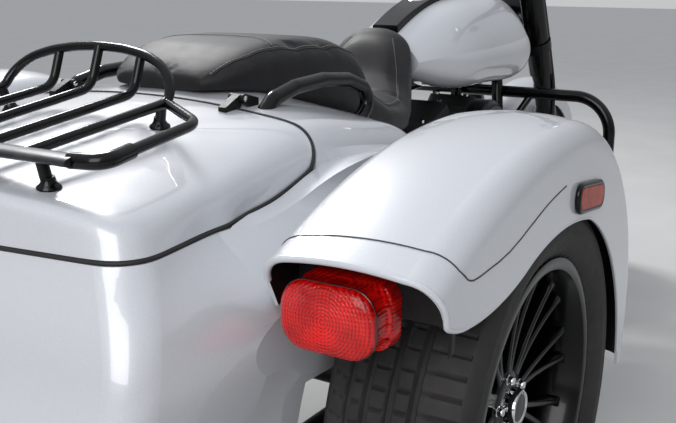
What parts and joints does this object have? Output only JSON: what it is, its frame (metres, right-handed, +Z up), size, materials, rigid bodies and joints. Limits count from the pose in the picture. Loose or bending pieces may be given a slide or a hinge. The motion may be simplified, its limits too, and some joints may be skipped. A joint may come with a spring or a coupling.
{
  "type": "motor trike",
  "caption": "Touring trike for a road: one steered front wheel, open engine, tank, stepped seat, rear trunk with lifting lid and rack between two covered wheels.",
  "frame": {"origin": "on the ground under the middle of the bounding box", "axes": "+X forward, +Y to the rider's left, +Z up"},
  "size_m": [2.67, 1.4046, 1.246],
  "materials": {
    "body_paint": "pearl gloss",
    "black_gloss": "gloss",
    "black_satin": "satin",
    "frame_black": "semi-gloss",
    "wheel_black": "gloss",
    "tyre": "matt",
    "leather": "satin",
    "engine_grey": "satin",
    "engine_black": "satin",
    "chrome": "polished",
    "steel": "brushed",
    "lens_red": "moulded lens",
    "lens_amber": "moulded lens",
    "rubber": "matt",
    "blade_grey": "satin metallic",
    "rack_black": "gloss"
  },
  "bodies": {
    "chassis": {"frame": "frame_black", "engine_crankcase": "engine_black", "front_cylinder": "engine_black", "rear_cylinder": "engine_black", "pushrod_tubes": "chrome", "air_cleaner": "black_gloss", "primary_cover": "black_gloss", "exhaust": "black_satin", "swingarm": "frame_black", "rear_axle": "frame_black", "drive_belt": "rubber", "rear_shocks": "steel", "rear_calipers": "black_satin", "side_covers": "black_gloss", "footboards": "black_gloss", "engine_guard": "black_gloss", "fuel_tank": "body_paint", "tank_console": "black_gloss", "rider_seat": "leather", "pillion_seat": "leather", "trunk_body": "body_paint", "trunk_seal": "rubber", "rear_fender_left": "body_paint", "rear_fender_right": "body_paint", "grab_rails": "black_gloss", "tail_lamp_left": "lens_red", "tail_lamp_right": "lens_red", "lamp_brackets": "black_satin", "side_markers": "lens_amber", "plate_holder": "black_satin"},
    "steering": {"fork": "black_gloss", "handlebar": "black_gloss", "hand_controls": "black_satin", "headlamp": "black_gloss", "front_fender": "body_paint", "front_indicators": "lens_amber", "front_calipers": "black_satin"},
    "front_wheel": {"front_tyre": "tyre", "front_rim": "wheel_black", "front_disc": "steel"},
    "rear_wheel_left": {"rear_tyre_left": "tyre", "rear_rim_left": "wheel_black"},
    "rear_wheel_right": {"rear_tyre_right": "tyre", "rear_rim_right": "wheel_black"},
    "lid": {"trunk_lid": "body_paint", "luggage_rack": "rack_black", "rack_blade": "blade_grey"}
  },
  "joints": [
    {"name": "steering_head", "type": "hinge", "parent": "chassis", "child": "steering", "pos_m": [0.666, 0, 0.85], "axis": [-0.4695, 0, 0.8829], "range_deg": [-30, 30]},
    {"name": "front_wheel_spin", "type": "hinge", "parent": "steering", "child": "front_wheel", "pos_m": [1.016, 0, 0.319], "axis": [0, 1, 0], "continuous": true},
    {"name": "rear_left_spin", "type": "hinge", "parent": "chassis", "child": "rear_wheel_left", "pos_m": [-0.654, 0.575, 0.325], "axis": [0, 1, 0], "continuous": true},
    {"name": "rear_right_spin", "type": "hinge", "parent": "chassis", "child": "rear_wheel_right", "pos_m": [-0.654, -0.575, 0.325], "axis": [0, 1, 0], "continuous": true},
    {"name": "trunk_lid_hinge", "type": "hinge", "parent": "chassis", "child": "lid", "pos_m": [-0.766, 0, 0.781], "axis": [0, 1, 0], "range_deg": [0, 60]}
  ]
}
